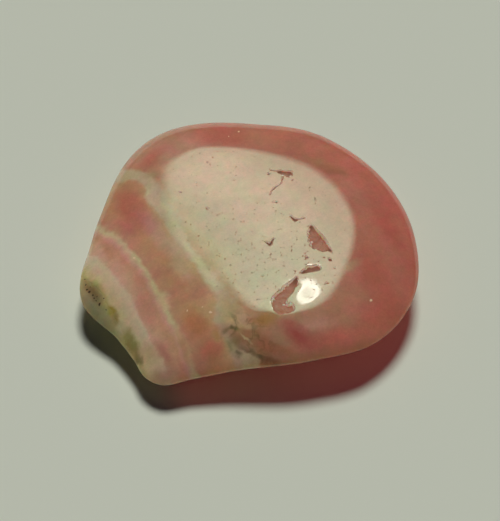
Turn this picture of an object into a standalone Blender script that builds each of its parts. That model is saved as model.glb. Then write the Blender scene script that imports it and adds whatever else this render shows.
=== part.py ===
"""Rhodochrosite slice: one tumbled, polished slab of banded stone, lying on its flat underside.

Metres, +Z up, +X along the slab's length. The origin is on the underside, below the slab's middle.
Seen from above, azimuth 0 is +X and azimuth 90 is +Y.
"""
import math

import bmesh
import bpy

MM = 0.001

# Driving sizes
THICKNESS = 5.6 * MM
CROWN_RADIUS = 270 * MM    # radius of the slight dome of the polished top
UNDER_INSET = 1.4          # how far the underside steps in, as a share of the girdle's height
UNDER_POWER = 0.8          # power of the turn below the girdle, as for the shoulder below
PIT_DEPTH = 0.55           # depth of a pit, as a share of its half width

# The girdle is the slab's widest line: azimuth in degrees, radius in mm
GIRDLE = (
    (0, 13.3), (47, 12.3), (64, 12.2), (85, 11.9), (127, 13.2), (167, 12.3),
    (179, 12.6), (202, 14.1), (219, 13.2), (229, 13.6), (236, 14.3), (242, 14.2),
    (249, 13.0), (258, 12.1), (294, 12.2), (316, 13.6), (339, 13.9),
)

# The girdle's height in mm: the slab thins towards its front left corner
GIRDLE_HEIGHT = (
    (0, 3.4), (60, 3.4), (120, 3.3), (160, 3.1), (195, 2.9), (228, 2.2), (250, 2.5),
    (270, 3.2), (300, 3.7), (330, 3.4),
)

# Radius in mm at which the polished top ends and the shoulder starts to turn down
TOP_RIM = (
    (13, 7.8), (45, 6.9), (59, 6.8), (104, 8.0), (116, 8.6), (130, 8.6), (160, 6.0),
    (172, 4.9), (199, 3.0), (244, 4.0), (280, 7.6), (292, 8.3), (335, 7.9),
)

# Power that the shoulder falls by: 0.5 is an ellipse, and more is a longer, straighter slope
SHOULDER = (
    (0, 0.55), (110, 0.56), (150, 0.65), (190, 0.75), (225, 0.75), (255, 0.70), (290, 0.72),
    (330, 0.66),
)

# Pits in the top, each a groove along these points: x, y and half width in mm
PITS = {
    "hollow": ((4.91, 0.54, 0.20), (5.06, -0.14, 0.44), (5.41, -0.90, 0.62), (5.95, -1.47, 0.42),
               (6.34, -1.75, 0.20)),
    "dash": ((4.12, -3.92, 0.14), (4.75, -3.58, 0.26), (5.37, -3.48, 0.22)),
    "hook": ((3.68, -4.44, 0.14), (3.41, -5.00, 0.30), (2.78, -5.75, 0.40), (2.27, -6.59, 0.50),
             (2.46, -7.33, 0.46), (3.08, -7.23, 0.34)),
    "bud": ((1.68, 6.13, 0.10), (2.53, 5.87, 0.22), (3.01, 5.72, 0.32), (3.28, 5.76, 0.22)),
    "root": ((2.85, 5.40, 0.14), (2.64, 4.79, 0.13), (2.00, 4.36, 0.14), (1.67, 3.70, 0.10)),
    "nick": ((1.31, -1.03, 0.12), (1.60, -1.22, 0.16), (1.89, -0.70, 0.12)),
    "tick": ((3.24, 1.55, 0.10), (3.61, 1.14, 0.14), (4.32, 1.32, 0.10)),
}

# How the starting cube is spread over the slab
CUBE_CUTS = 23             # cuts along each edge of the cube
RIM_SHARE = 0.42           # way from the top's middle to the girdle at which the rim lies
UNDER_SHARE = 0.38         # way from the girdle to the underside's middle at which the flat begins


def clear_scene():
    for obj in list(bpy.data.objects):
        bpy.data.objects.remove(obj, do_unlink=True)


def new_collection(name):
    collection = bpy.data.collections.new(name)
    bpy.context.scene.collection.children.link(collection)
    return collection


def around(knots, azimuth):
    """Value at an azimuth, in degrees, of a smooth closed curve through the knots."""
    ring = [(angle + turn, value) for turn in (-360, 0, 360) for angle, value in knots]
    last = max(i for i, knot in enumerate(ring) if knot[0] <= azimuth)
    (a0, v0), (a1, v1), (a2, v2), (a3, v3) = ring[last - 1:last + 3]
    before, span, after = a1 - a0, a2 - a1, a3 - a2
    rise = (v2 - v1) / span
    start = ((v1 - v0) / before * span + rise * before) / (before + span)
    end = (rise * after + (v3 - v2) / after * span) / (span + after)
    t = (azimuth - a1) / span
    straight = v1 + (v2 - v1) * t
    bend = (start - rise) * (1 - t) - (end - rise) * t
    return straight + bend * span * t * (1 - t)


def slab_point(direction):
    """Carry a unit direction from the slab's middle onto its surface."""
    azimuth = math.atan2(direction.y, direction.x)
    degrees = math.degrees(azimuth) % 360
    girdle = around(GIRDLE, degrees) * MM
    height = around(GIRDLE_HEIGHT, degrees) * MM
    rim = around(TOP_RIM, degrees) * MM
    power = around(SHOULDER, degrees)
    under = girdle - UNDER_INSET * height
    way = math.acos(max(-1.0, min(1.0, direction.z))) / (math.pi / 2)

    if way < RIM_SHARE:
        radius = rim * way / RIM_SHARE
        z = THICKNESS - radius ** 2 / (2 * CROWN_RADIUS)
    elif way < 1:
        turn = (way - RIM_SHARE) / (1 - RIM_SHARE) * math.pi / 2
        radius = rim + (girdle - rim) * math.sin(turn)
        drop = height + radius ** 2 / (2 * CROWN_RADIUS)
        z = height + (THICKNESS - drop) * math.cos(turn) ** (2 * power)
    elif way < 1 + UNDER_SHARE:
        turn = (way - 1) / UNDER_SHARE * math.pi / 2
        radius = under + (girdle - under) * max(0.0, math.cos(turn)) ** (2 * UNDER_POWER)
        z = height * (1 - math.sin(turn) ** (2 * UNDER_POWER))
    else:
        radius = under * (2 - way) / (1 - UNDER_SHARE)
        z = 0.0
    return radius * math.cos(azimuth), radius * math.sin(azimuth), z


def slab_mesh(name):
    """A finely cut cube, blown out to the slab's form and centred over the origin."""
    bm = bmesh.new()
    bmesh.ops.create_cube(bm, size=2.0)
    bmesh.ops.subdivide_edges(bm, edges=bm.edges, cuts=CUBE_CUTS, use_grid_fill=True)
    for vert in bm.verts:
        vert.co = slab_point(vert.co.normalized())
    xs = [vert.co.x for vert in bm.verts]
    ys = [vert.co.y for vert in bm.verts]
    for vert in bm.verts:
        vert.co.x -= (min(xs) + max(xs)) / 2
        vert.co.y -= (min(ys) + max(ys)) / 2
    bmesh.ops.triangulate(bm, faces=bm.faces)
    bmesh.ops.recalc_face_normals(bm, faces=bm.faces)
    mesh = bpy.data.meshes.new(name)
    bm.to_mesh(mesh)
    bm.free()
    return mesh


def pit_cutter(name, route, collection):
    """A lumpy, flattened groove along a route, as a closed mesh that reaches into the top."""
    curve = bpy.data.curves.new(name, "CURVE")
    curve.dimensions = "3D"
    curve.bevel_depth = 1.0 * MM
    curve.bevel_resolution = 1
    curve.resolution_u = 3
    curve.use_fill_caps = True
    spline = curve.splines.new("BEZIER")
    spline.bezier_points.add(len(route) - 1)
    for point, (x, y, half_width) in zip(spline.bezier_points, route):
        point.co = (x * MM, y * MM, 0)
        point.radius = half_width
        point.handle_left_type = "AUTO"
        point.handle_right_type = "AUTO"
    tube = bpy.data.objects.new(name + "_route", curve)
    collection.objects.link(tube)
    bpy.context.view_layer.update()
    depsgraph = bpy.context.evaluated_depsgraph_get()
    mesh = bpy.data.meshes.new_from_object(tube.evaluated_get(depsgraph))
    bpy.data.objects.remove(tube)

    bm = bmesh.new()
    bm.from_mesh(mesh)
    bmesh.ops.remove_doubles(bm, verts=bm.verts, dist=0.000001)
    for vert in bm.verts:
        vert.co.z *= PIT_DEPTH
    bmesh.ops.recalc_face_normals(bm, faces=bm.faces)
    bm.to_mesh(mesh)
    bm.free()

    cutter = bpy.data.objects.new(name, mesh)
    cutter.location.z = THICKNESS - 0.05 * MM
    cutter.hide_render = True
    cutter.display_type = "WIRE"
    collection.objects.link(cutter)
    return cutter


def rhodochrosite():
    """Rose stone with a glassy polish that lets a little light into it."""
    material = bpy.data.materials.new("polished_rhodochrosite")
    material.use_nodes = True
    shader = material.node_tree.nodes["Principled BSDF"]
    shader.inputs["Base Color"].default_value = (0.34, 0.125, 0.085, 1.0)
    shader.inputs["Metallic"].default_value = 0.0
    shader.inputs["Roughness"].default_value = 0.12
    shader.inputs["IOR"].default_value = 1.65
    shader.inputs["Subsurface Weight"].default_value = 0.3
    shader.inputs["Subsurface Scale"].default_value = 2.0 * MM
    return material


def build():
    clear_scene()
    parts = new_collection("rhodochrosite_slice")
    cutters = new_collection("rhodochrosite_slice_cutters")

    mesh = slab_mesh("polished_slice")
    mesh.materials.append(rhodochrosite())
    slab = bpy.data.objects.new("polished_slice", mesh)
    parts.objects.link(slab)

    for name, route in PITS.items():
        cut = slab.modifiers.new("pit_" + name, "BOOLEAN")
        cut.operation = "DIFFERENCE"
        cut.solver = "EXACT"
        cut.object = pit_cutter("pit_" + name, route, cutters)

    mesh.shade_smooth()
    mesh.set_sharp_from_angle(angle=math.radians(35))


build()
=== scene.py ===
import math
from functools import partial

import bmesh
import bpy
import numpy as np
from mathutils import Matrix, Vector


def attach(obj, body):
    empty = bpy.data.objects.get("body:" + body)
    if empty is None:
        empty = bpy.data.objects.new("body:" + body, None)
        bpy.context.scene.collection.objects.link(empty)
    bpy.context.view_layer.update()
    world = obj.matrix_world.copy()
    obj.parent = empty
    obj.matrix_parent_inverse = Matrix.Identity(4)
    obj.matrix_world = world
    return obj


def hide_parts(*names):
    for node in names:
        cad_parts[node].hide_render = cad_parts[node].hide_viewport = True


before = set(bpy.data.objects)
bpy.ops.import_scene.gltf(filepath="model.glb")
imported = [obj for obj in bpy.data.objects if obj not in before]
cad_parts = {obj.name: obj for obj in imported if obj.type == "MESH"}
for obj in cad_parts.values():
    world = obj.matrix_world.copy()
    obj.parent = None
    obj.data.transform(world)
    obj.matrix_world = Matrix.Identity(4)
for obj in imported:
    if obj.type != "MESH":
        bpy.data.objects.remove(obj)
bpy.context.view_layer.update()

mm = 0.001
scene = bpy.context.scene
gently = {"interpolation_type": "SMOOTHSTEP"}  # for a Map Range that starts and ends softly

# Centre in mm of the growth bands, far off to the lower left. The rind follows it too
bandCentre = (-46.0, -26.0)


# Colours are written as sRGB hex and turned linear here
def colour(hexText):
    parts = [int(hexText[i:i + 2], 16) / 255 for i in (1, 3, 5)]
    linear = [p / 12.92 if p <= 0.04045 else ((p + 0.055) / 1.055) ** 2.4 for p in parts]
    return (*linear, 1.0)


# Adds one node with its settings, and links or fills its inputs in order or by name
def addNode(tree, kind, inputs=(), **settings):
    node = tree.nodes.new(kind)
    for name, value in settings.items():
        setattr(node, name, value)
    for key, value in inputs.items() if isinstance(inputs, dict) else enumerate(inputs):
        if isinstance(value, bpy.types.Node):
            value = value.outputs[0]
        if isinstance(value, bpy.types.NodeSocket):
            tree.links.new(value, node.inputs[key])
        else:
            node.inputs[key].default_value = value
    return node


# One loft from the middle of the top, over the shoulder, round the girdle and onto the underside
slab = {
    "thickness": 5.6,
    "crownRadius": 270.0,   # of the slight dome that the polished top is
    "underInset": 1.4,      # step in under the girdle, as a share of the girdle's height
    "underPower": 0.8,      # power of the turn under the girdle, as for the shoulder below
    "girdle": (             # azimuth in degrees and radius in mm of the widest line
        (0, 13.3), (47, 12.3), (64, 12.2), (85, 11.9), (127, 13.2), (167, 12.3), (179, 12.6),
        (202, 14.1), (219, 13.2), (229, 13.6), (236, 14.3), (242, 14.2), (249, 13.0),
        (258, 12.1), (294, 12.2), (316, 13.6), (339, 13.9)),
    "girdleHeight": (       # lowest along the broken edge at the front left
        (0, 3.4), (60, 3.4), (120, 3.3), (160, 3.1), (195, 2.9), (228, 2.2), (250, 2.5),
        (270, 3.2), (300, 3.7), (330, 3.4)),
    "topRim": (             # where the flat polish ends and the shoulder turns down
        (13, 7.8), (45, 6.9), (59, 6.8), (104, 8.0), (116, 8.6), (130, 8.6), (160, 6.0),
        (172, 4.9), (199, 3.0), (244, 4.0), (280, 7.6), (292, 8.3), (335, 7.9)),
    "shoulder": (           # power that the shoulder falls by: 0.5 is an ellipse, more is straighter
        (0, 0.55), (110, 0.56), (150, 0.65), (190, 0.75), (225, 0.75), (255, 0.70),
        (290, 0.72), (330, 0.66)),
    "cubeCuts": 103,        # cuts along each edge of the cube that the form is blown from
    "rimShare": 0.42,       # way from the top's middle to the girdle at which the rim lies
    "underShare": 0.38,     # way from the girdle to the underside's middle at which it is flat
    "fineReach": 0.35,      # mm round a pit in which the mesh is made finer
    "fineDepth": 1.0,       # mm below the top down to which it is
    "fineCuts": 3,
    "legMarks": 12,         # places along each leg of a pit that the reach is measured from
}

# Pits that the wheel never reached: x, y and half width in mm along each one
pits = {
    "hollow": ((4.91, 0.54, 0.12), (5.06, -0.14, 0.40), (5.41, -0.90, 0.60), (5.95, -1.47, 0.36),
               (6.34, -1.75, 0.12)),
    "dash": ((4.12, -3.92, 0.10), (4.75, -3.58, 0.24), (5.37, -3.48, 0.21)),
    "hook": ((3.68, -4.44, 0.10), (3.41, -5.00, 0.28), (2.78, -5.75, 0.38), (2.27, -6.59, 0.50),
             (2.46, -7.33, 0.48), (3.08, -7.23, 0.36)),
    "bud": ((2.53, 5.87, 0.20), (3.01, 5.72, 0.29), (3.25, 5.78, 0.21)),
    "stem": ((1.68, 6.13, 0.06), (2.13, 5.97, 0.06), (2.53, 5.87, 0.16)),
    "root": ((2.68, 5.47, 0.07), (2.62, 4.92, 0.05), (2.43, 4.61, 0.045), (2.04, 4.35, 0.075),
             (1.72, 3.92, 0.04), (1.67, 3.62, 0.07)),
    "nick": ((1.31, -1.03, 0.07), (1.60, -1.22, 0.11), (1.89, -0.70, 0.08)),
    "tick": ((3.24, 1.55, 0.06), (3.61, 1.14, 0.12), (3.93, 1.21, 0.06), (4.32, 1.32, 0.06)),
}

# Single pinpricks of the same kind: x, y and radius in mm
pricks = (
    (1.57, 5.70, 0.10), (2.12, 2.87, 0.085), (-3.36, 2.27, 0.09), (-5.52, 3.90, 0.08),
    (6.35, -2.65, 0.10), (4.52, -2.45, 0.08), (6.06, -4.88, 0.08), (6.70, -3.46, 0.06),
    (1.02, -4.25, 0.07), (3.40, 5.10, 0.08), (-1.22, 5.06, 0.06), (-4.26, 4.81, 0.06),
)


# Reads a smooth closed curve through (degrees, value) knots at many azimuths at once
def around(knots, degrees):
    ring = np.array([(a + turn, v) for turn in (-360, 0, 360) for a, v in knots])
    angles, values = ring[:, 0], ring[:, 1]
    spans = np.diff(angles)
    rises = np.diff(values) / spans
    slopes = np.zeros(len(ring))
    slopes[1:-1] = (rises[:-1] * spans[1:] + rises[1:] * spans[:-1]) / (spans[:-1] + spans[1:])
    i = np.searchsorted(angles, degrees, side="right") - 1
    t = (degrees - angles[i]) / spans[i]
    bend = (slopes[i] - rises[i]) * (1 - t) - (slopes[i + 1] - rises[i]) * t
    return values[i] + (values[i + 1] - values[i]) * t + bend * spans[i] * t * (1 - t)


# Carries unit directions from the slab's middle onto its surface, in mm
def slabPoints(directions):
    azimuth = np.arctan2(directions[:, 1], directions[:, 0])
    degrees = np.degrees(azimuth) % 360
    girdle = around(slab["girdle"], degrees)
    height = around(slab["girdleHeight"], degrees)
    rim = around(slab["topRim"], degrees)
    under = girdle - slab["underInset"] * height
    power = around(slab["shoulder"], degrees)
    way = np.arccos(np.clip(directions[:, 2], -1, 1)) / (math.pi / 2)

    over = (way - slab["rimShare"]) / (1 - slab["rimShare"]) * math.pi / 2
    below = np.clip((way - 1) / slab["underShare"], 0, 1) * math.pi / 2
    tuck = 2 * slab["underPower"]
    zones = [way < slab["rimShare"], way < 1, way < 1 + slab["underShare"]]
    radius = np.select(zones, [
        rim * way / slab["rimShare"],
        rim + (girdle - rim) * np.sin(over),
        under + (girdle - under) * np.clip(np.cos(below), 0, 1) ** tuck,
    ], under * (2 - way) / (1 - slab["underShare"]))
    crest = slab["thickness"] - radius ** 2 / (2 * slab["crownRadius"])
    fall = np.clip(np.cos(over), 0, 1) ** (2 * power)
    z = np.select(zones, [
        crest,
        height + (crest - height) * fall,
        height * (1 - np.sin(below) ** tuck),
    ], 0.0)
    return np.stack([radius * np.cos(azimuth), radius * np.sin(azimuth), z], axis=1)


# Cuts the mesh finer round the pits, so that their broken edges have real facets
def fineRoundPits(bm):
    marks = [np.array(pricks)]
    steps = np.linspace(0, 1, slab["legMarks"])[:, None]
    for route in pits.values():
        route = np.array(route)
        marks += [a + (b - a) * steps for a, b in zip(route, route[1:])]
    marks = np.concatenate(marks)
    fine = []
    for face in bm.faces:
        middle = face.calc_center_median() / mm
        if middle.z > slab["thickness"] - slab["fineDepth"]:
            gap = np.hypot(marks[:, 0] - middle.x, marks[:, 1] - middle.y) - marks[:, 2]
            if gap.min() < slab["fineReach"]:
                fine.append(face)
    edges = list({edge for face in fine for edge in face.edges})
    bmesh.ops.subdivide_edges(bm, edges=edges, cuts=slab["fineCuts"], use_grid_fill=True)


def makeSlab():
    bm = bmesh.new()
    bmesh.ops.create_cube(bm, size=2.0)
    bmesh.ops.subdivide_edges(bm, edges=bm.edges, cuts=slab["cubeCuts"], use_grid_fill=True)
    directions = np.array([v.co.normalized() for v in bm.verts])
    points = slabPoints(directions)
    points[:, :2] -= (points[:, :2].min(axis=0) + points[:, :2].max(axis=0)) / 2
    for vert, point in zip(bm.verts, points):
        vert.co = Vector(point) * mm
    fineRoundPits(bm)
    bmesh.ops.triangulate(bm, faces=bm.faces)
    bmesh.ops.recalc_face_normals(bm, faces=bm.faces)
    mesh = bpy.data.meshes.new("polishedStone")
    bm.to_mesh(mesh)
    bm.free()
    piece = bpy.data.objects.new("polishedStone", mesh)
    scene.collection.objects.link(piece)
    print("slab form:", len(mesh.polygons), "triangles")
    return piece


# How the polish is broken, all in mm
wear = {
    "depth": 0.55,        # depth of a pit as a share of its half width
    "floor": 0.035,       # depth that even the narrowest pit has
    "leastDepth": 0.55,   # share of that depth which the lowest noise leaves
    "unevenness": 0.9,    # and how much the noise adds
    "ragged": 0.30,       # how far a pit's edge wanders
    "dish": 0.30,         # how much wider the lip is on a wide pit's dished side
    "grain": 0.30,        # width of the chips that broke out
    "chipMiddle": 0.45,   # depth of a chip, as a share of that width, that leaves the edge in place
    "lip": 0.09,          # how wide the polish rolls over into a pit
    "lipOutside": 0.4,    # share of that width which lies outside the pit
    "roll": 0.46,         # how far outside a wide pit it starts to lean in
    "rollRadius": 18.0,   # of the round that it leans in by
    "wave": 0.03,         # height of the slow waves that tumbling leaves
    "waveLength": 5.0,
    "crumb": 0.10,        # height of the lumps on the soft rind
    "crumbLength": 0.8,
    "rindFrom": 41.3,     # distance from the bands' centre inside which the rind is
    "seed": 4.0,
}

# Place in mm that the wide pits' dished sides face
dishPlace = (4.4, -3.5)

beadStep = 0.03  # mm between the beads that are laid along the pits

# What a pit's half width decides: two half widths in mm, and the value at each
byWidth = {
    "chips": (0.05, 0.3, 0.25, 1.6),         # share of the raggedness
    "slimming": (0.14, 0.08, 0.0, 0.035),    # mm by which a crack's edge draws in
    "dish": (0.25, 0.45, 0.0, 1.0),
    "roll": (0.14, 0.26, 0.0, 0.5),          # a round's sag is half its reach squared over its radius
    "grime": (0.32, 0.14, 0.0, 1.0),
}

# What the height on the stone decides, written the same way
byHeight = {
    "pits": (3.0, 3.5, 0.0, 1.0),      # in the upper side only
    "waves": (5.0, 5.5, 2.0, 0.35),    # slight on the flat top
    "swelling": (0.0, 1.5, 0.0, mm),   # none where the stone rests
}

# And what a point's side of its pit decides: -1 is the far side, and 1 the dished one
bySide = {
    "chips": (0.1, -0.4, 1.0, 0.25),
    "dish": (0.1, 0.9, 0.0, 1.0),
}


# The routes as one curve object, drawn flat on the floor under the pits
def pitRoutes():
    curve = bpy.data.curves.new("pitRoutes", "CURVE")
    curve.dimensions = "3D"
    dots = [((x, y, r), (x + beadStep, y, r)) for x, y, r in pricks]
    for line in list(pits.values()) + dots:
        spline = curve.splines.new("POLY")
        spline.points.add(len(line) - 1)
        for point, (x, y, halfWidth) in zip(spline.points, line):
            point.co = (x * mm, y * mm, 0, 1)
            point.radius = halfWidth
    routes = bpy.data.objects.new("pitRoutes", curve)
    scene.collection.objects.link(routes)
    return routes


# Noise with lumps of a given size in mm
def lumps(add, given, placeMm, size, detail=2.0):
    density = add("ShaderNodeMath", (1.0, size), operation="DIVIDE")
    return add("ShaderNodeTexNoise",
               {"Vector": placeMm, "W": given["seed"], "Scale": density, "Detail": detail},
               noise_dimensions="4D")


# Beads along the routes tell every point where the nearest one is, how far, and how wide
def nearestBead(add, given, place, plan):
    routes = add("GeometryNodeObjectInfo", {"Object": given["Routes"]},
                 transform_space="RELATIVE").outputs["Geometry"]
    dense = add("GeometryNodeResampleCurve", {"Curve": routes, "Length": beadStep * mm}, mode="LENGTH")
    beads = add("GeometryNodeCurveToPoints", {"Curve": dense}, mode="EVALUATED")
    nearest = add("GeometryNodeSampleNearest", {"Geometry": beads, "Sample Position": plan})
    beadPlace = add("GeometryNodeSampleIndex", {"Geometry": beads, "Value": place, "Index": nearest},
                    data_type="FLOAT_VECTOR")
    beadWidth = add("GeometryNodeSampleIndex",
                    {"Geometry": beads, "Value": add("GeometryNodeInputRadius"), "Index": nearest})
    away = add("ShaderNodeVectorMath", (plan, beadPlace), operation="DISTANCE").outputs["Value"]
    away = add("ShaderNodeMath", (away, 1 / mm), operation="MULTIPLY")
    return beadPlace, beadWidth, away


# How far the pits and the lean round them sink each point, and how much of a pit is there
def sunkenPits(add, given, place, placeMm, plan, height):
    beadPlace, beadWidth, away = nearestBead(add, given, place, plan)

    # How far a point is on the side of its pit that faces the others
    ways = []
    for end, start in ((plan, beadPlace), (Vector((*dishPlace, 0)) * mm, plan)):
        way = add("ShaderNodeVectorMath", (end, start), operation="SUBTRACT")
        ways.append(add("ShaderNodeVectorMath", [way], operation="NORMALIZE"))
    facing = add("ShaderNodeVectorMath", ways, operation="DOT_PRODUCT").outputs["Value"]

    # Chips the size of the grain break a pit's edge, most of all on that side and on a wide pit
    density = add("ShaderNodeMath", (1.0, given["grain"]), operation="DIVIDE")
    chips = add("ShaderNodeTexVoronoi", {"Vector": placeMm, "W": given["seed"], "Scale": density},
                voronoi_dimensions="4D")
    wander = add("ShaderNodeMath", (chips, given["chipMiddle"]), operation="SUBTRACT")
    wide = add("ShaderNodeMapRange", (beadWidth, *byWidth["chips"]))
    broken = add("ShaderNodeMapRange", (facing, *bySide["chips"]))
    for share in (wide, broken):
        wander = add("ShaderNodeMath", (wander, share), operation="MULTIPLY")
    reach = add("ShaderNodeMath", (beadWidth, away), operation="SUBTRACT")
    slim = add("ShaderNodeMapRange", (beadWidth, *byWidth["slimming"]))
    reach = add("ShaderNodeMath", (reach, slim), operation="SUBTRACT")
    reach = add("ShaderNodeMath", (wander, given["ragged"], reach), operation="MULTIPLY_ADD")

    # A wide pit is dished there, and falls away sharply elsewhere
    dish = add("ShaderNodeMapRange", (facing, *bySide["dish"]), **gently)
    dish = add("ShaderNodeMath", (dish, given["dish"]), operation="MULTIPLY")
    wide = add("ShaderNodeMapRange", (beadWidth, *byWidth["dish"]))
    lip = add("ShaderNodeMath", (dish, wide, given["lip"]), operation="MULTIPLY_ADD")
    lipOut = add("ShaderNodeMath", (lip, given["lipOutside"]), operation="MULTIPLY")
    lipIn = add("ShaderNodeMath", (lip, lipOut), operation="SUBTRACT")
    lipOut = add("ShaderNodeMath", (lipOut, -1.0), operation="MULTIPLY")
    pit = add("ShaderNodeMapRange", (reach, lipOut, lipIn), **gently)
    upper = add("ShaderNodeMapRange", (height, *byHeight["pits"]))
    pit = add("ShaderNodeMath", (pit, upper), operation="MULTIPLY")
    depth = add("ShaderNodeMath", (beadWidth, given["depth"], given["floor"]), operation="MULTIPLY_ADD")
    uneven = lumps(add, given, placeMm, given["grain"])
    uneven = add("ShaderNodeMath", (uneven, given["unevenness"], given["leastDepth"]),
                 operation="MULTIPLY_ADD")
    sink = pit
    for factor in (depth, uneven):
        sink = add("ShaderNodeMath", (sink, factor), operation="MULTIPLY")

    # Round a wide pit the polish leans in before it breaks, and catches the lamp
    wide = add("ShaderNodeMapRange", (beadWidth, *byWidth["roll"]))
    roll = add("ShaderNodeMath", (beadWidth, away), operation="SUBTRACT")
    for operation, value in (("ADD", given["roll"]), ("MAXIMUM", 0.0), ("POWER", 2.0),
                             ("DIVIDE", given["rollRadius"]), ("MULTIPLY", wide)):
        roll = add("ShaderNodeMath", (roll, value), operation=operation)
    sink = add("ShaderNodeMath", (roll, upper, sink), operation="MULTIPLY_ADD")

    # Narrow pits are left full of grime
    narrow = add("ShaderNodeMapRange", (beadWidth, *byWidth["grime"]))
    narrow = add("ShaderNodeMath", (narrow, pit), operation="MULTIPLY")
    return sink, pit, narrow


# How far the waves and the rind's lumps push each point out, in mm
def swelling(add, given, placeMm, plan, height):
    waves = lumps(add, given, placeMm, given["waveLength"], 1.0)
    waves = add("ShaderNodeMath", (waves, 0.5), operation="SUBTRACT")
    waves = add("ShaderNodeMath", (waves, given["wave"]), operation="MULTIPLY")
    calm = add("ShaderNodeMapRange", (height, *byHeight["waves"]))
    waves = add("ShaderNodeMath", (waves, calm), operation="MULTIPLY")

    # The rind is a softer rock, which tumbling left lumpy
    centre = Vector((*bandCentre, 0)) * mm
    inRind = add("ShaderNodeVectorMath", (plan, centre), operation="DISTANCE").outputs["Value"]
    inRind = add("ShaderNodeMath", (inRind, 1 / mm), operation="MULTIPLY")
    inRind = add("ShaderNodeMath", (given["rindFrom"], inRind), operation="SUBTRACT")
    inRind = add("ShaderNodeMapRange", (inRind, 0.0, 1.0))
    crumbs = lumps(add, given, placeMm, given["crumbLength"])
    crumbs = add("ShaderNodeMath", (crumbs, 0.6), operation="SUBTRACT")
    for share in (given["crumb"], inRind):
        crumbs = add("ShaderNodeMath", (crumbs, share), operation="MULTIPLY")
    return add("ShaderNodeMath", (waves, crumbs), operation="ADD")


# Sinks the surface along the routes, crumbles the rind, and leaves the waves of a tumbled stone
def wearTree():
    tree = bpy.data.node_groups.new("tumbledWear", "GeometryNodeTree")
    tree.interface.new_socket("Geometry", in_out="OUTPUT", socket_type="NodeSocketGeometry")
    inputs = {"Geometry": "Geometry", "Routes": "Object", "Stone": "Material"}
    for name, kind in (inputs | dict.fromkeys(wear, "Float")).items():
        tree.interface.new_socket(name, in_out="INPUT", socket_type="NodeSocket" + kind)
    add = partial(addNode, tree)
    given = add("NodeGroupInput").outputs
    place = add("GeometryNodeInputPosition")
    placeMm = add("ShaderNodeVectorMath", {0: place, "Scale": 1 / mm}, operation="SCALE")
    height = add("ShaderNodeSeparateXYZ", [placeMm]).outputs["Z"]
    plan = add("ShaderNodeVectorMath", (place, (1, 1, 0)), operation="MULTIPLY")
    sink, pit, narrow = sunkenPits(add, given, place, placeMm, plan, height)
    swell = swelling(add, given, placeMm, plan, height)

    # Swelling goes out along the normals, and pits go straight down
    free = add("ShaderNodeMapRange", (height, *byHeight["swelling"]), **gently)
    swell = add("ShaderNodeMath", (swell, free), operation="MULTIPLY")
    push = add("ShaderNodeVectorMath", {0: add("GeometryNodeInputNormal"), "Scale": swell},
               operation="SCALE")
    sink = add("ShaderNodeMath", (sink, -mm), operation="MULTIPLY")
    drop = add("ShaderNodeCombineXYZ", {"Z": sink})
    offset = add("ShaderNodeVectorMath", (push, drop))

    # The pits are worked out before the points move, and kept for the material
    kept = add("GeometryNodeCaptureAttribute", {"Geometry": given["Geometry"]})
    kept.capture_items.new("FLOAT", "pit")
    kept.capture_items.new("FLOAT", "narrowPit")
    tree.links.new(pit.outputs[0], kept.inputs[1])
    tree.links.new(narrow.outputs[0], kept.inputs[2])
    solid = add("GeometryNodeSetPosition", {"Geometry": kept, "Offset": offset})
    for number, name in enumerate(("pit", "narrowPit"), 1):
        solid = add("GeometryNodeStoreNamedAttribute",
                    {"Geometry": solid, "Name": name, "Value": kept.outputs[number]})
    solid = add("GeometryNodeRealizeInstances", {"Geometry": solid})
    solid = add("GeometryNodeSetMaterial", {"Geometry": solid, "Material": given["Stone"]})
    add("NodeGroupOutput", {"Geometry": solid})
    return tree


# Runs the wear on the slab and leaves a plain mesh
def wearSlab(piece, material):
    tree = wearTree()
    routes = pitRoutes()
    modifier = piece.modifiers.new("wear", "NODES")
    modifier.node_group = tree
    values = dict(wear, Routes=routes, Stone=material)
    for item in tree.interface.items_tree:
        if item.in_out == "INPUT" and item.name in values:
            modifier[item.identifier] = values[item.name]
    bpy.context.view_layer.update()
    worn = piece.evaluated_get(bpy.context.evaluated_depsgraph_get())
    mesh = bpy.data.meshes.new_from_object(worn)
    piece.modifiers.remove(modifier)
    piece.data = mesh
    bpy.data.objects.remove(routes)
    mesh.shade_smooth()
    print("worn stone:", len(mesh.polygons), "triangles")


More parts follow.
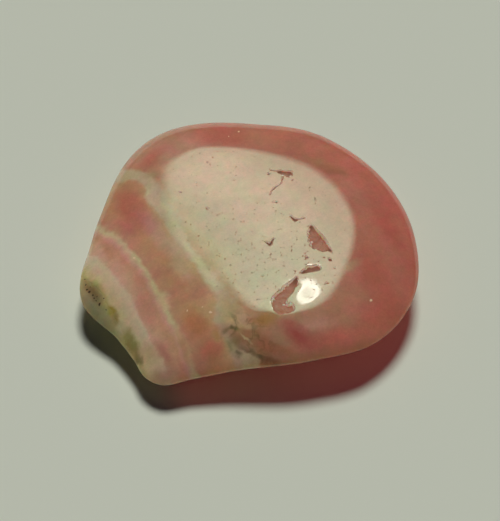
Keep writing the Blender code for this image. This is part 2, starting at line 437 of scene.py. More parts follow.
# Banded rhodochrosite, a manganese carbonate, tumbled to a glassy polish: rose and cream bands
# that light sinks into, under a sharp gloss broken by pinholes. Sizes are in mm and distances are
# from the bands' centre. Two ends may be followed by the values at them
stone = {
    # Gloss
    "ior": 1.65,
    "polish": 0.03,
    "pitRoughness": 0.55,
    "holeRoughness": 0.5,
    "rindRoughness": 0.28,
    "pitGloss": (0.1, 0.5),      # depths in a pit between which the polish is lost
    "rindGloss": (41.0, 40.3),   # distances between which it gives way to the rind's
    # Light in it
    "glow": (1.0, 0.28, 0.16),   # how far red, green and blue light travel in it
    "glowDepth": 8.0,
    "glowShare": 0.8,
    "through": "#a56a6c",        # tint that each surface gives the light that comes through
    "clear": (41.0, 44.2),       # distances between which it starts to
    "clearGain": (48.0, 61.0, 0.85, 1.13),
    # Bends of everything in it: length and height
    "wander": (4.5, 0.55),       # slow ones
    "jitter": (0.7, 0.30),       # and the bands' ragged edges
    "bendDetail": 3.0,
    # Cream band
    "creamSpan": (46.0, 52.0),   # distances that hold both its edges
    "creamEdge": (-0.25, 0.3, 0.0, 0.85),
    "creamDark": "#c0ae8c",
    "creamPale": "#e4d8b6",
    "creamDrift": 0.7,           # drifts between the two per mm
    # Columns and clouds
    "fibre": (1.1, 3.5),         # width and length of the growth columns that cross the bands
    "fibreFrom": 48.0,           # distance at which they have that width
    "fibreShade": (0.3, 0.7, 0.93, 1.06),
    "mottle": ((2.2, 0.07), (0.5, 0.04), (0.16, 0.05)),   # size and strength of the cloudy spots
    "flush": 1.3,                # size of the spots where the rose is weaker and stronger
    "flushTints": ((0.96, 1.04, 0.97, 1.0), (1.05, 0.95, 1.02, 1.0)),
    "brightest": 0.97,
    # Veinlets
    "veinField": (-0.2, -9.2, 3.12, 1.68, -25),   # x, y, half length, half width and turn
    "veinMesh": 1.8,             # width of their meshes
    "veinWidth": 0.05,           # as a share of the noise that they follow
    "veinStrength": 0.35,
    "vein": "#66603c",
    # Pinholes
    "pinhole": (0.21, 0.075),    # spacing and largest radius
    "pinholeDepth": 0.015,
    "pinholeEdge": (-0.02, 0.09),
    "pinholeHeight": (5.2, 5.42),   # heights on the stone between which they begin
    "crowding": 3.0,             # size of the crowds that they stand in
    "crowdPlace": (0.3, -2.2),   # the place where they stand closest
    "crowdBend": 8.0,            # how far the crowds bend the distance to it
    "crowdEnds": (4.5, 10.5, 0.32, 0.8),    # that distance, and the share of cells with no pinhole
    "grime": "#7a5638",
    "grimeShare": 0.3,
    # Pits
    "pitEnds": (0.25, 0.8, 0.0, 0.85),      # depths over which the floor's colour comes in
    "pitFloor": "#c88c72",
    "pitGrime": "#84543c",
    # Painted glint: the pale colour of pit lips that lean to the front stands in for light coming out of
    # the stone there
    "lip": "#fff2e0",
    "glintLean": (-0.02, -0.12),   # lean to the front over which the painted glint comes in on the lip
    "glintOuter": (0.0, 0.08),     # depths over which it starts
    "glintInner": (1.0, 0.8),      # and ends
    # Painted glints as pale grain-like dots, and specks
    "grain": "#f4dcb8",
    "speck": "#2c2a1c",
    "dotRim": 1.2,               # their soft rim, as a share of the radius
}

# Colour of each growth band, by distance in mm from the bands' centre
bands = (
    (39.3, "#8c9776"), (40.35, "#c8bb82"), (40.7, "#dfcb9a"), (41.2, "#e5cba7"), (41.95, "#ebd0b1"),
    (42.2, "#e4b79c"), (43.45, "#d8a486"), (43.75, "#ddac96"), (44.15, "#dccea1"),
    (44.5, "#d09e81"), (45.8, "#d1a27a"), (47.2, "#d5b88a"), (48.6, "#ce9c7b"), (51.0, "#c19a7c"),
    (55.0, "#c37c6c"), (60.5, "#c57065"), (68.5, "#c76f61"))

# The broad cream band wanders more than the rest: degrees round the centre, its inner and its
# outer radius in mm
creamBand = (
    (18.5, 47.2, 49.3), (21.7, 46.8, 49.2), (23.0, 46.9, 49.0), (24.3, 47.7, 48.9), (25.7, 47.9, 48.7),
    (27.0, 47.6, 48.6), (29.5, 47.47, 48.37), (31.0, 47.48, 48.4), (33.0, 47.5, 48.84),
    (35.0, 47.6, 49.0), (37.4, 47.75, 49.4), (38.9, 48.4, 49.6), (40.1, 48.5, 49.7),
    (41.5, 47.9, 49.2), (43.5, 47.4, 48.8))

# Stains, blots and veins that break the bands, and one patch of painted shade, each over the ones before:
# x, y, half length, half width, turn in degrees, softness of the edge, strength and colour
blots = {
    # Tones of the rose ground, round the edge
    "topLeftPink": (-5.2, 9.0, 3.4, 1.3, 25, 0.9, 0.6, "#d4a18c"),
    "topRed": (-2.3, 10.1, 2.6, 1.5, -6, 0.6, 0.8, "#c57765"),
    "brownPink": (3.0, 9.4, 3.6, 1.6, -11, 0.8, 0.6, "#bd8369"),
    "orangeStreak": (5.8, 6.8, 1.5, 0.45, -30, 0.9, 0.7, "#b98a68"),
    "darkStreak": (6.6, 6.2, 1.3, 0.4, -20, 0.9, 0.7, "#b0725b"),
    "rightPale": (8.3, 3.9, 1.8, 0.8, -57, 0.9, 0.6, "#c98a78"),
    "deepRight": (9.8, -3.9, 3.0, 1.4, -69, 0.9, 0.5, "#c36755"),
    "oliveTan": (8.1, -3.2, 0.9, 0.4, 39, 0.9, 0.7, "#c1a37e"),
    "paleSpot": (8.0, -7.1, 0.8, 0.5, 19, 0.9, 0.6, "#d2917a"),
    "lightPink": (4.9, -8.7, 1.8, 0.7, 13, 0.9, 0.7, "#cfa48c"),
    # Columns across the bands, from the back to the foot
    "redBlot": (-9.3, 3.0, 3.0, 1.2, -62, 0.6, 0.75, "#c26d5f"),
    "redHeart": (-9.7, 1.0, 1.1, 0.7, -50, 0.9, 0.6, "#d37777"),
    "mauve": (-7.6, 0.6, 2.2, 0.8, -58, 0.9, 0.75, "#d09b90"),
    "tanColumn": (-5.9, -1.5, 1.7, 0.9, -51, 0.9, 0.7, "#cbb092"),
    "redColumn": (-4.2, -5.4, 1.5, 1.0, -42, 0.8, 0.7, "#d49a80"),
    "goldColumn": (-4.1, -8.2, 1.4, 0.9, -68, 0.8, 0.7, "#cc8a61"),
    "pinkFoot": (-2.9, -10.3, 1.1, 0.8, -11, 0.8, 0.7, "#ce7e67"),
    # Uneven places along the bands
    "bandKnot": (-6.6, -5.8, 0.8, 0.55, -66, 0.7, 0.8, "#e5cca0"),
    "bandFoot": (-5.0, -9.8, 1.6, 0.35, -70, 0.9, 0.7, "#c78a6f"),
    "pinkBand": (-8.0, -6.6, 1.9, 0.6, -60, 0.8, 0.5, "#d5947b"),
    "mauveBand": (-6.6, -10.2, 1.4, 0.5, -65, 0.9, 0.6, "#ba776a"),
    # The foot, where the veins are
    "veinField": (0.0, -9.6, 2.6, 1.1, -25, 0.6, 0.9, "#af825e"),
    "creamField": (-1.3, -7.9, 1.4, 1.0, -57, 0.7, 0.8, "#ddc594"),
    "orangeStain": (1.2, -8.3, 1.2, 0.6, 10, 0.9, 0.9, "#ba9058"),
    "magentaStreak": (3.7, -9.3, 1.5, 0.65, -35, 0.9, 0.85, "#b45c54"),
    "footTan": (2.4, -10.3, 1.6, 0.35, -13, 0.8, 0.7, "#c08464"),
    # A second layer of both, deeper or paler in places
    "deepFront": (6.63, -9.45, 2.7, 0.9, 12, 0.9, 0.8, "#cf7a6a"),
    "deepFrontRight": (10.02, -7.20, 2.4, 1.2, 50, 0.9, 0.6, "#c76e5e"),
    "deepRightBack": (10.98, 0.77, 2.2, 0.9, -70, 0.9, 0.8, "#be6a5b"),
    "tanColumnLow": (-5.43, -3.46, 1.2, 0.7, -50, 0.9, 0.75, "#dcba99"),
    "pinkUp": (-11.01, -1.09, 0.9, 0.4, -60, 0.9, 0.7, "#cea278"),
    "topLeftRed": (-7.83, 7.66, 1.4, 0.8, 48, 0.9, 0.75, "#c37765"),
    # The middle of the top, and strands along the cream band
    "paleBack": (-3.3, 5.6, 3.6, 2.6, 10, 0.9, 0.8, "#e2b098"),
    "paleMiddle": (0.9, 2.6, 5.0, 3.8, -30, 0.9, 0.8, "#dfaf96"),
    "tanEdge": (-0.88, -7.41, 1.5, 0.6, -35, 0.9, 0.85, "#caad89"),
    "oliveShade": (-3.4, -2.2, 5.3, 1.3, -62, 0.9, 0.7, "#c8a97c"),
    "creamStrand": (-5.3, -0.4, 4.6, 0.42, -64, 0.9, 0.6, "#e0d8ae"),
    "creamLow": (-3.23, -4.29, 1.7, 0.5, -57, 0.9, 0.75, "#e5dbb3"),
    "oliveSpot": (-7.7, 5.8, 1.0, 0.4, -10, 0.8, 0.7, "#b49e7c"),
    "greyCloud": (-7.0, 3.9, 1.4, 0.7, -60, 0.9, 0.6, "#c5b898"),
    # Patches of the rind
    "oliveRind": (-12.1, -4.1, 0.9, 0.5, -48, 0.6, 0.8, "#bfb778"),
    "brightRind": (-10.9, -6.2, 0.5, 0.4, -63, 0.5, 0.95, "#aea95a"),
    "brightRindLow": (-10.5, -6.9, 0.5, 0.3, -70, 0.7, 0.8, "#9e9457"),
    "darkRind": (-9.2, -8.8, 1.5, 0.45, -64, 0.7, 0.9, "#9a945b"),
    "rindTip": (-8.6, -10.1, 0.7, 0.35, -68, 0.6, 0.8, "#787d4b"),
    "creamGap": (-10.08, -7.46, 0.55, 0.5, -60, 0.9, 0.9, "#d6c79e"),
    "speckled": (-12.36, -4.32, 1.53, 0.4, -64, 0.9, 0.7, "#655e39"),
    # Patches of the foot, and painted shade on its corner
    # Painted shade: a darker pinkish grey on the corner's tip, which turns away from the lamp
    "paintedCornerShade": (-6.92, -11.84, 1.3, 0.8, 10, 0.9, 0.85, "#baa086"),
    "footCream": (-7.72, -9.86, 1.2, 0.8, -60, 0.9, 0.7, "#c6a47e"),
    "palePatch": (-0.03, -8.82, 0.8, 0.32, -10, 0.9, 0.7, "#d2ba91"),
    "greyPatch": (-0.93, -10.01, 0.85, 0.5, -20, 0.9, 0.75, "#987e5a"),
    "goldPatch": (-2.58, -9.28, 0.5, 0.28, -60, 0.9, 0.7, "#c4a365"),
    "paleVein": (-0.14, -9.80, 0.62, 0.10, -41, 0.9, 0.7, "#dacc9d"),
    # Veins, and the knots where they meet
    "vein1": (-1.87, -8.97, 0.46, 0.2, 28, 0.9, 0.55, "#7f7848"),
    "vein2": (-1.15, -8.93, 0.50, 0.22, -21, 0.9, 0.65, "#6a6340"),
    "knot1": (-1.42, -8.82, 0.22, 0.18, -10, 0.9, 0.55, "#66633a"),
    "knot2": (-1.01, -8.96, 0.2, 0.16, -20, 0.9, 0.55, "#7a794f"),
    "vein3": (-1.17, -8.01, 0.75, 0.2, -57, 0.9, 0.4, "#8a8058"),
    "vein4": (-0.80, -10.74, 0.35, 0.2, -14, 0.9, 0.65, "#5f5838"),
    "vein5": (0.19, -10.64, 0.95, 0.18, -16, 0.9, 0.6, "#665e40"),
    "vein6": (1.75, -10.97, 0.94, 0.2, -6, 0.9, 0.55, "#665a40"),
    "knot3": (1.02, -10.87, 0.3, 0.17, -10, 0.9, 0.6, "#706748"),
    "vein7": (-1.57, -10.24, 0.57, 0.18, -53, 0.9, 0.4, "#80784e"),
}

# Painted glints: pale grain-like dots of spar where the polish flashes: x, y and radius in mm
glintGrains = (
    (-0.84, 10.38, 0.08), (-1.72, 9.83, 0.06), (9.48, -6.18, 0.13), (-4.61, -7.05, 0.06),
    (-3.05, -7.30, 0.07), (-3.60, -6.86, 0.05), (-8.95, -2.1, 0.07))

# Black specks in the rind
specks = (
    (-13.01, -2.94, 0.07), (-12.88, -3.46, 0.06), (-12.75, -3.91, 0.09), (-12.62, -4.29, 0.13),
    (-12.37, -4.64, 0.08), (-12.24, -4.91, 0.07), (-12.08, -5.11, 0.05), (-11.80, -5.50, 0.11),
    (-12.05, -4.76, 0.05), (-12.47, -3.86, 0.05), (-11.60, -5.13, 0.05), (-11.40, -5.97, 0.05))


# Falls from 1 in the middle of an oval to 0 at its rim
def oval(add, plan, x, y, halfLength, halfWidth, turn=0):
    spot = add("ShaderNodeMapping",
               {"Vector": plan, "Location": (x, y, 0), "Rotation": (0, 0, math.radians(turn)),
                "Scale": (halfLength, halfWidth, 1)}, vector_type="TEXTURE")
    return add("ShaderNodeTexGradient", {"Vector": spot}, gradient_type="SPHERICAL").outputs["Fac"]


# Two sizes of bend carry every pattern with them, so that no edge is ruled
def bentPlaces(add, placeMm):
    bent = placeMm
    for length, height in (stone["wander"], stone["jitter"]):
        noise = add("ShaderNodeTexNoise",
                    {"Vector": placeMm, "Scale": 1 / length, "Detail": stone["bendDetail"]})
        shift = add("ShaderNodeVectorMath", (noise.outputs["Color"], (0.5, 0.5, 0.5)), operation="SUBTRACT")
        shift = add("ShaderNodeVectorMath", {0: shift, "Scale": 2 * height}, operation="SCALE")
        bent = add("ShaderNodeVectorMath", (bent, shift))
    return bent


# Growth bands lie round one centre, like the skins of an onion
def growthBands(add, away):
    low, high = bands[0][0], bands[-1][0]
    sweep = add("ShaderNodeMapRange", (away, low, high))
    ramp = add("ShaderNodeValToRGB", [sweep])
    stops = ramp.color_ramp.elements
    for index, (at, hexText) in enumerate(bands):
        stop = stops[index] if index < 2 else stops.new(0.5)
        stop.position = (at - low) / (high - low)
        stop.color = colour(hexText)
    return ramp.outputs["Color"]


# The cream band lies between two curves of its own
def creamOver(add, base, bent, away, angle):
    first, last = creamBand[0][0], creamBand[-1][0]
    near, far = stone["creamSpan"]
    turn = add("ShaderNodeMapRange", (angle, math.radians(first), math.radians(last)))
    edges = []
    for side in (1, 2):
        curve = add("ShaderNodeFloatCurve", {"Value": turn})
        points = curve.mapping.curves[0].points
        for index, row in enumerate(creamBand):
            x, y = (row[0] - first) / (last - first), (row[side] - near) / (far - near)
            point = points[index] if index < 2 else points.new(x, y)
            point.location = (x, y)
        curve.mapping.update()
        edges.append(add("ShaderNodeMapRange", (curve, 0.0, 1.0, near, far)))
    inside = add("ShaderNodeMath", (away, edges[0]), operation="SUBTRACT")
    outside = add("ShaderNodeMath", (edges[1], away), operation="SUBTRACT")
    within = add("ShaderNodeMath", (inside, outside), operation="MINIMUM")
    cream = add("ShaderNodeMapRange", (within, *stone["creamEdge"]), **gently)
    drift = add("ShaderNodeTexNoise", {"Vector": bent, "Scale": stone["creamDrift"], "Detail": 3.0})
    tint = add("ShaderNodeMix",
               {0: drift, 6: colour(stone["creamDark"]), 7: colour(stone["creamPale"])},
               data_type="RGBA").outputs[2]
    return add("ShaderNodeMix", {0: cream, 6: base, 7: tint}, data_type="RGBA").outputs[2]


# Each blot is an oval worked out to half as far again as its sizes, where a soft edge ends
def blotsOver(add, base, plan):
    room = 1.5
    for x, y, halfLength, halfWidth, turn, softness, strength, hexText in blots.values():
        near = oval(add, plan, x, y, room * halfLength, room * halfWidth, turn)
        outer, inner = 1 - (1 + softness / 2) / room, 1 - (1 - softness) / room
        share = add("ShaderNodeMapRange", (near, outer, inner, 0.0, strength), **gently)
        base = add("ShaderNodeMix", {0: share, 6: base, 7: colour(hexText)}, data_type="RGBA").outputs[2]
    return base


# A net of dark olive veinlets, only where the field of veins is
def veinsOver(add, base, bent, plan):
    field = oval(add, plan, *stone["veinField"])
    field = add("ShaderNodeMapRange", (field, 0.0, 0.6, 0.0, stone["veinStrength"]), **gently)
    net = add("ShaderNodeTexNoise",
              {"Vector": bent, "Scale": 1 / stone["veinMesh"], "Detail": 3.0, "Distortion": 0.6})
    net = add("ShaderNodeMath", (net, 0.5), operation="SUBTRACT")
    net = add("ShaderNodeMath", [net], operation="ABSOLUTE")
    net = add("ShaderNodeMapRange", (net, stone["veinWidth"], 0.0), **gently)
    net = add("ShaderNodeMath", (net, field), operation="MULTIPLY")
    return add("ShaderNodeMix", {0: net, 6: base, 7: colour(stone["vein"])}, data_type="RGBA").outputs[2]


# Fibrous columns cross the bands, and clouds of three sizes and flushes of rose lie in them
def cloudsOver(add, base, placeMm, bent, away, angle):
    arc = add("ShaderNodeMath", (angle, stone["fibreFrom"]), operation="MULTIPLY")
    height = add("ShaderNodeSeparateXYZ", [placeMm]).outputs["Z"]
    polar = add("ShaderNodeCombineXYZ", (arc, away, height))
    width, length = stone["fibre"]
    polar = add("ShaderNodeMapping", {"Vector": polar, "Scale": (1 / width, 1 / length, 1 / length)})
    fibres = add("ShaderNodeTexNoise", {"Vector": polar, "Scale": 1.0, "Detail": 4.0, "Roughness": 0.6})
    shade = add("ShaderNodeMapRange", (fibres, *stone["fibreShade"]))
    for size, strength in stone["mottle"]:
        clouds = add("ShaderNodeTexNoise", {"Vector": placeMm, "Scale": 1 / size, "Detail": 3.0})
        factor = add("ShaderNodeMapRange", (clouds, 0.3, 0.7, 1 - strength, 1 + strength))
        shade = add("ShaderNodeMath", (shade, factor), operation="MULTIPLY")
    base = add("ShaderNodeVectorMath", {0: base, "Scale": shade}, operation="SCALE").outputs[0]
    flush = add("ShaderNodeTexNoise", {"Vector": bent, "Scale": 1 / stone["flush"], "Detail": 3.0})
    flush = add("ShaderNodeMapRange", (flush, 0.35, 0.65))
    plain, rosy = stone["flushTints"]
    flush = add("ShaderNodeMix", {0: flush, 6: plain, 7: rosy}, data_type="RGBA").outputs[2]
    base = add("ShaderNodeVectorMath", (base, flush), operation="MULTIPLY").outputs[0]
    most = (stone["brightest"],) * 3
    return add("ShaderNodeVectorMath", (base, most), operation="MINIMUM").outputs[0]


# Pinholes: a random few of the cells hold one, each of its own size
def pinholes(add, placeMm, plan):
    spacing, largest = stone["pinhole"]
    cells = add("ShaderNodeTexVoronoi", {"Vector": placeMm, "Scale": 1 / spacing})
    chance = add("ShaderNodeSeparateXYZ", [cells.outputs["Color"]]).outputs["X"]
    height = add("ShaderNodeSeparateXYZ", [placeMm]).outputs["Z"]
    most = add("ShaderNodeMapRange", (height, *stone["pinholeHeight"], 0.0, largest / spacing))
    crowd = add("ShaderNodeTexNoise", {"Vector": placeMm, "Scale": 1 / stone["crowding"], "Detail": 1.0})
    far = add("ShaderNodeVectorMath", (plan, (*stone["crowdPlace"], 0)), operation="DISTANCE")
    crowd = add("ShaderNodeMath", (crowd, stone["crowdBend"], far.outputs["Value"]),
                operation="MULTIPLY_ADD")
    rare = add("ShaderNodeMapRange", (crowd, *stone["crowdEnds"]))
    size = add("ShaderNodeMapRange", {"Value": chance, "From Min": rare, "To Max": most})
    gap = add("ShaderNodeMath", (size, cells.outputs["Distance"]), operation="SUBTRACT")
    return add("ShaderNodeMapRange", (gap, *stone["pinholeEdge"]), **gently)


# Grime in the pinholes, painted glints as pale grain-like dots in the polish, and black specks in the rind
def dotsOver(add, base, plan, pinhole):
    dark = add("ShaderNodeMath", (pinhole, stone["grimeShare"]), operation="MULTIPLY")
    base = add("ShaderNodeMix", {0: dark, 6: base, 7: colour(stone["grime"])}, data_type="RGBA").outputs[2]
    for dots, name in ((glintGrains, "grain"), (specks, "speck")):
        for x, y, radius in dots:
            rim = stone["dotRim"] * radius
            share = add("ShaderNodeMapRange", (oval(add, plan, x, y, rim, rim), 0.0, 0.5))
            base = add("ShaderNodeMix", {0: share, 6: base, 7: colour(stone[name])},
                       data_type="RGBA").outputs[2]
    return base


# Pits are matt and rusty inside, and their broken lips that lean to the front get a painted glint
def pitsAndLipGlintOver(add, base, pit):
    floor = add("ShaderNodeMapRange", (pit, *stone["pitEnds"]))
    narrow = add("ShaderNodeAttribute", attribute_name="narrowPit").outputs["Fac"]
    tint = add("ShaderNodeMix",
               {0: narrow, 6: colour(stone["pitFloor"]), 7: colour(stone["pitGrime"])},
               data_type="RGBA").outputs[2]
    base = add("ShaderNodeMix", {0: floor, 6: base, 7: tint}, data_type="RGBA").outputs[2]

    # Painted glint: pale colour on the lips that lean to the front stands in for light that went into the
    # stone coming out there
    lean = add("ShaderNodeSeparateXYZ", [add("ShaderNodeTexCoord").outputs["Normal"]]).outputs["Y"]
    lean = add("ShaderNodeMapRange", (lean, *stone["glintLean"]))
    outer = add("ShaderNodeMapRange", (pit, *stone["glintOuter"]))
    inner = add("ShaderNodeMapRange", (pit, *stone["glintInner"]))
    inner = add("ShaderNodeMath", (inner, narrow), operation="SUBTRACT")
    lip = add("ShaderNodeMath", (outer, inner), operation="MULTIPLY", use_clamp=True)
    lip = add("ShaderNodeMath", (lip, lean), operation="MULTIPLY")
    return add("ShaderNodeMix", {0: lip, 6: base, 7: colour(stone["lip"])}, data_type="RGBA").outputs[2]


# Gloss everywhere but in the pits, in the pinholes and on the rind
def glossOf(add, away, pit, pinhole):
    polish = stone["polish"]
    inRind = add("ShaderNodeMapRange", (away, *stone["rindGloss"]))
    inPit = add("ShaderNodeMapRange", (pit, *stone["pitGloss"], polish, stone["pitRoughness"]))
    inHole = add("ShaderNodeMapRange", (pinhole, 0.0, 1.0, polish, stone["holeRoughness"]))
    onRind = add("ShaderNodeMapRange", (inRind, 0.0, 1.0, polish, stone["rindRoughness"]))
    rough = add("ShaderNodeMath", (inPit, inHole), operation="MAXIMUM")
    return add("ShaderNodeMath", (rough, onRind), operation="MAXIMUM").outputs[0]


# The sun comes through the stone onto the paper as deep red, but not through its rind
def lightThrough(add, away):
    clear = add("ShaderNodeMapRange", (away, *stone["clear"]))
    gain = add("ShaderNodeMapRange", (away, *stone["clearGain"]))
    clear = add("ShaderNodeMath", (clear, gain), operation="MULTIPLY")
    tint = add("ShaderNodeVectorMath", {0: colour(stone["through"])[:3], "Scale": clear}, operation="SCALE")
    return add("ShaderNodeBsdfTransparent", {"Color": tint})


def stoneMaterial():
    material = bpy.data.materials.new("tumblePolishedRhodochrosite")
    material.use_nodes = True
    tree = material.node_tree
    shader = tree.nodes["Principled BSDF"]
    add = partial(addNode, tree)
    place = add("ShaderNodeTexCoord").outputs["Object"]
    placeMm = add("ShaderNodeVectorMath", {0: place, "Scale": 1 / mm}, operation="SCALE")
    bent = bentPlaces(add, placeMm)
    plan = add("ShaderNodeMapping", {"Vector": bent, "Scale": (1, 1, 0)})
    spoke = add("ShaderNodeVectorMath", (plan, (*bandCentre, 0)), operation="SUBTRACT")
    away = add("ShaderNodeVectorMath", [spoke], operation="LENGTH").outputs["Value"]
    axes = add("ShaderNodeSeparateXYZ", [spoke]).outputs
    angle = add("ShaderNodeMath", (axes["Y"], axes["X"]), operation="ARCTAN2")
    pinhole = pinholes(add, placeMm, plan)
    pit = add("ShaderNodeAttribute", attribute_name="pit").outputs["Fac"]

    base = growthBands(add, away)
    base = creamOver(add, base, bent, away, angle)
    base = blotsOver(add, base, plan)
    base = veinsOver(add, base, bent, plan)
    base = cloudsOver(add, base, placeMm, bent, away, angle)
    base = dotsOver(add, base, plan, pinhole)
    base = pitsAndLipGlintOver(add, base, pit)
    bump = add("ShaderNodeBump", {"Height": pinhole, "Distance": stone["pinholeDepth"] * mm}, invert=True)
    tree.links.new(base, shader.inputs["Base Color"])
    tree.links.new(glossOf(add, away, pit, pinhole), shader.inputs["Roughness"])
    tree.links.new(bump.outputs[0], shader.inputs["Normal"])
    shader.inputs["IOR"].default_value = stone["ior"]
    shader.inputs["Subsurface Weight"].default_value = stone["glowShare"]
    shader.inputs["Subsurface Radius"].default_value = stone["glow"]
    shader.inputs["Subsurface Scale"].default_value = stone["glowDepth"] * mm

    shadow = add("ShaderNodeLightPath").outputs["Is Shadow Ray"]
    whole = add("ShaderNodeMixShader", (shadow, shader, lightThrough(add, away)))
    tree.links.new(whole.outputs[0], tree.nodes["Material Output"].inputs["Surface"])
    print("stone material:", len(tree.nodes), "nodes")
    return material


# Matt cartridge paper: a pale, faintly green grey with no shine
paper = {
    "size": 4.0,        # m
    "tone": "#e0e5d5",
    "roughness": 0.9,
}


def paperFloor():
    material = bpy.data.materials.new("mattPaper")
    material.use_nodes = True
    shader = material.node_tree.nodes["Principled BSDF"]
    shader.inputs["Base Color"].default_value = colour(paper["tone"])
    shader.inputs["Roughness"].default_value = paper["roughness"]
    shader.inputs["Specular IOR Level"].default_value = 0.0
    bpy.ops.mesh.primitive_plane_add(size=paper["size"], location=(0, 0, 0))
    floor = bpy.context.object
    floor.name = "paperFloor"
    floor.data.materials.append(material)


# Viewpoint and lights. A turn is in degrees to the right of straight behind, a rise in degrees up
studio = {
    # Camera
    "elevation": 55.0,       # degrees, in front, and of the window behind that the stone mirrors
    "distance": 0.25,        # m from the slab
    "lens": 217.7,
    "aim": (0.052, -0.997, 3.0),     # mm
    # Broad lamp
    "sunStrength": 2.1,
    "sunTone": "#fffffb",
    "sunTurn": 7.0,
    "sunRise": 65.0,
    "sunWidth": 17.0,        # degrees
    # Window, and the mm from its middle between which each side of it lights up
    "cardReach": 0.5,        # m from the slab to the window and to the bright lamp
    "windowSize": (0.30, 0.30),      # m
    "windowStrength": 4.7,
    "windowTone": "#c4e3c0",
    "curtain": (165.0, 0.0),         # its left side
    "curtainSlant": 0.3,             # how much further in that happens for each mm up
    "softRight": (-100.0, -50.0),
    "softLow": (-145.0, -70.0),
    "softHigh": (108.0, 60.0),
    "highRise": 1.5,                 # how much further up that happens for each mm to the left
    "glarePlace": (-25.0, 25.0),
    "glare": (48.0, 6.0, 1.0, 1.3),  # mm from that place, and how much brighter it is at them
    # Bright lamp: a ring round a dimmer disc, whose places are shares of its size
    "lampStrength": 11.5,
    "lampTone": "#fffdf0",
    "lampSize": (0.012, 0.0156),     # m
    "lampTurn": 6.25,
    "lampRise": 58.5,
    "lampMiddle": (0.5, 0.54),
    "lampHollow": (0.12, 0.40, 0.5, 1.0),
    "lampEdge": (0.5, 0.42),
    # Room
    "room": 0.015,
    "roomTone": "#b08cff",
    "backdrop": "#b5b8ac",
}


def direction(turn, rise):
    turn, rise = math.radians(turn), math.radians(rise)
    return Vector((math.sin(turn) * math.cos(rise), math.cos(turn) * math.cos(rise), math.sin(rise)))


def makeCamera():
    aim = Vector(studio["aim"]) * mm
    back = direction(180, studio["elevation"])
    data = bpy.data.cameras.new("viewpoint")
    data.lens = studio["lens"]
    data.sensor_width = 36  # mm
    data.clip_start = 0.01  # m
    camera = bpy.data.objects.new("viewpoint", data)
    camera.location = aim + back * studio["distance"]
    camera.rotation_euler = (-back).to_track_quat("-Z", "Y").to_euler()
    scene.collection.objects.link(camera)
    scene.camera = camera


# One high broad lamp makes the light and the shadow, and the gloss doesn't see it
def makeBroadLamp():
    data = bpy.data.lights.new("broadLamp", "SUN")
    data.energy = studio["sunStrength"]
    data.angle = math.radians(studio["sunWidth"])
    data.color = colour(studio["sunTone"])[:3]
    lamp = bpy.data.objects.new("broadLamp", data)
    towards = direction(studio["sunTurn"], studio["sunRise"])
    lamp.rotation_euler = towards.to_track_quat("Z", "Y").to_euler()
    lamp.visible_glossy = False
    scene.collection.objects.link(lamp)


# A card that only the gloss sees. Its node tree is handed back, to shape how bright it is
def glowingCard(name, turn, rise, size, strength, tone, shape):
    towards = direction(turn, rise)
    data = bpy.data.lights.new(name, "AREA")
    data.shape = shape
    data.size, data.size_y = size
    data.color = colour(tone)[:3]
    area = size[0] * size[1] * (math.pi / 4 if shape == "ELLIPSE" else 1)
    data.energy = strength * area * math.pi
    data.use_nodes = True
    card = bpy.data.objects.new(name, data)
    card.location = towards * studio["cardReach"] + Vector((0, 0, slab["thickness"] * mm))
    card.rotation_euler = towards.to_track_quat("Z", "Y").to_euler()
    for rays in ("camera", "diffuse", "transmission", "volume_scatter"):
        setattr(card, "visible_" + rays, False)
    scene.collection.objects.link(card)
    return data.node_tree


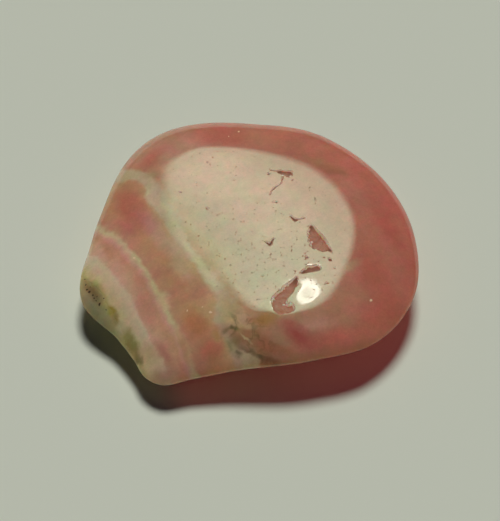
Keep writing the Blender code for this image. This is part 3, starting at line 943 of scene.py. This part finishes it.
def makeWindow():
    width, height = studio["windowSize"]
    tree = glowingCard("softWindow", 0, studio["elevation"], (width, height),
                       studio["windowStrength"], studio["windowTone"], "RECTANGLE")
    add = partial(addNode, tree)

    # Place on the window in mm, to the left and up. The stone mirrors its upper part nearer the front
    across = add("ShaderNodeNewGeometry").outputs["Parametric"]
    place = add("ShaderNodeVectorMath", (across, (0.5, 0.5, 0)), operation="SUBTRACT")
    place = add("ShaderNodeVectorMath", (place, (width / mm, height / mm, 0)), operation="MULTIPLY")
    axes = add("ShaderNodeSeparateXYZ", [place]).outputs
    left, up = axes["X"], axes["Y"]
    slant = add("ShaderNodeMath", (up, studio["curtainSlant"], left), operation="MULTIPLY_ADD")
    inLeft = add("ShaderNodeMath", (left, 0.0), operation="MAXIMUM")
    high = add("ShaderNodeMath", (inLeft, -studio["highRise"], up), operation="MULTIPLY_ADD")
    glare = add("ShaderNodeVectorMath", (place, (*studio["glarePlace"], 0)), operation="DISTANCE")
    fade = 1.0
    for reach, side in ((slant, "curtain"), (left, "softRight"), (up, "softLow"), (high, "softHigh"),
                        (glare.outputs["Value"], "glare")):
        share = add("ShaderNodeMapRange", (reach, *studio[side]), **gently)
        fade = add("ShaderNodeMath", (fade, share), operation="MULTIPLY")
    tree.links.new(fade.outputs[0], tree.nodes["Emission"].inputs["Strength"])


# The lamp in the window shows as a bright ring round a dimmer disc
def makeBrightLamp():
    tree = glowingCard("brightLamp", studio["lampTurn"], studio["lampRise"], studio["lampSize"],
                       studio["lampStrength"], studio["lampTone"], "ELLIPSE")
    add = partial(addNode, tree)
    across = add("ShaderNodeNewGeometry").outputs["Parametric"]
    place = add("ShaderNodeVectorMath", (across, (1, 1, 0)), operation="MULTIPLY")
    reach = add("ShaderNodeVectorMath", (place, (0.5, 0.5, 0.0)), operation="DISTANCE")
    edge = add("ShaderNodeMapRange", (reach.outputs["Value"], *studio["lampEdge"]), **gently)
    reach = add("ShaderNodeVectorMath", (place, (*studio["lampMiddle"], 0)), operation="DISTANCE")
    hollow = add("ShaderNodeMapRange", (reach.outputs["Value"], *studio["lampHollow"]), **gently)
    ring = add("ShaderNodeMath", (hollow, edge), operation="MULTIPLY")
    tree.links.new(ring.outputs[0], tree.nodes["Emission"].inputs["Strength"])


# A dim room, with the paper's own tone behind the far edge of the floor
def dimRoom():
    world = bpy.data.worlds.new("dimRoom")
    scene.world = world
    world.use_nodes = True
    world.node_tree.nodes.clear()
    add = partial(addNode, world.node_tree)
    dim = add("ShaderNodeBackground", (colour(studio["roomTone"]), studio["room"]))
    pale = add("ShaderNodeBackground", (colour(studio["backdrop"]), 1.0))
    seen = add("ShaderNodeLightPath").outputs["Is Camera Ray"]
    both = add("ShaderNodeMixShader", (seen, dim, pale))
    add("ShaderNodeOutputWorld", [both])
    scene.view_settings.view_transform = "Standard"


makeCamera()
makeBroadLamp()
makeWindow()
makeBrightLamp()
dimRoom()
paperFloor()
print("studio ready")

rhodochrosite = stoneMaterial()
polishedStone = makeSlab()
wearSlab(polishedStone, rhodochrosite)
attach(polishedStone, "root")
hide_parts("polished_slice")
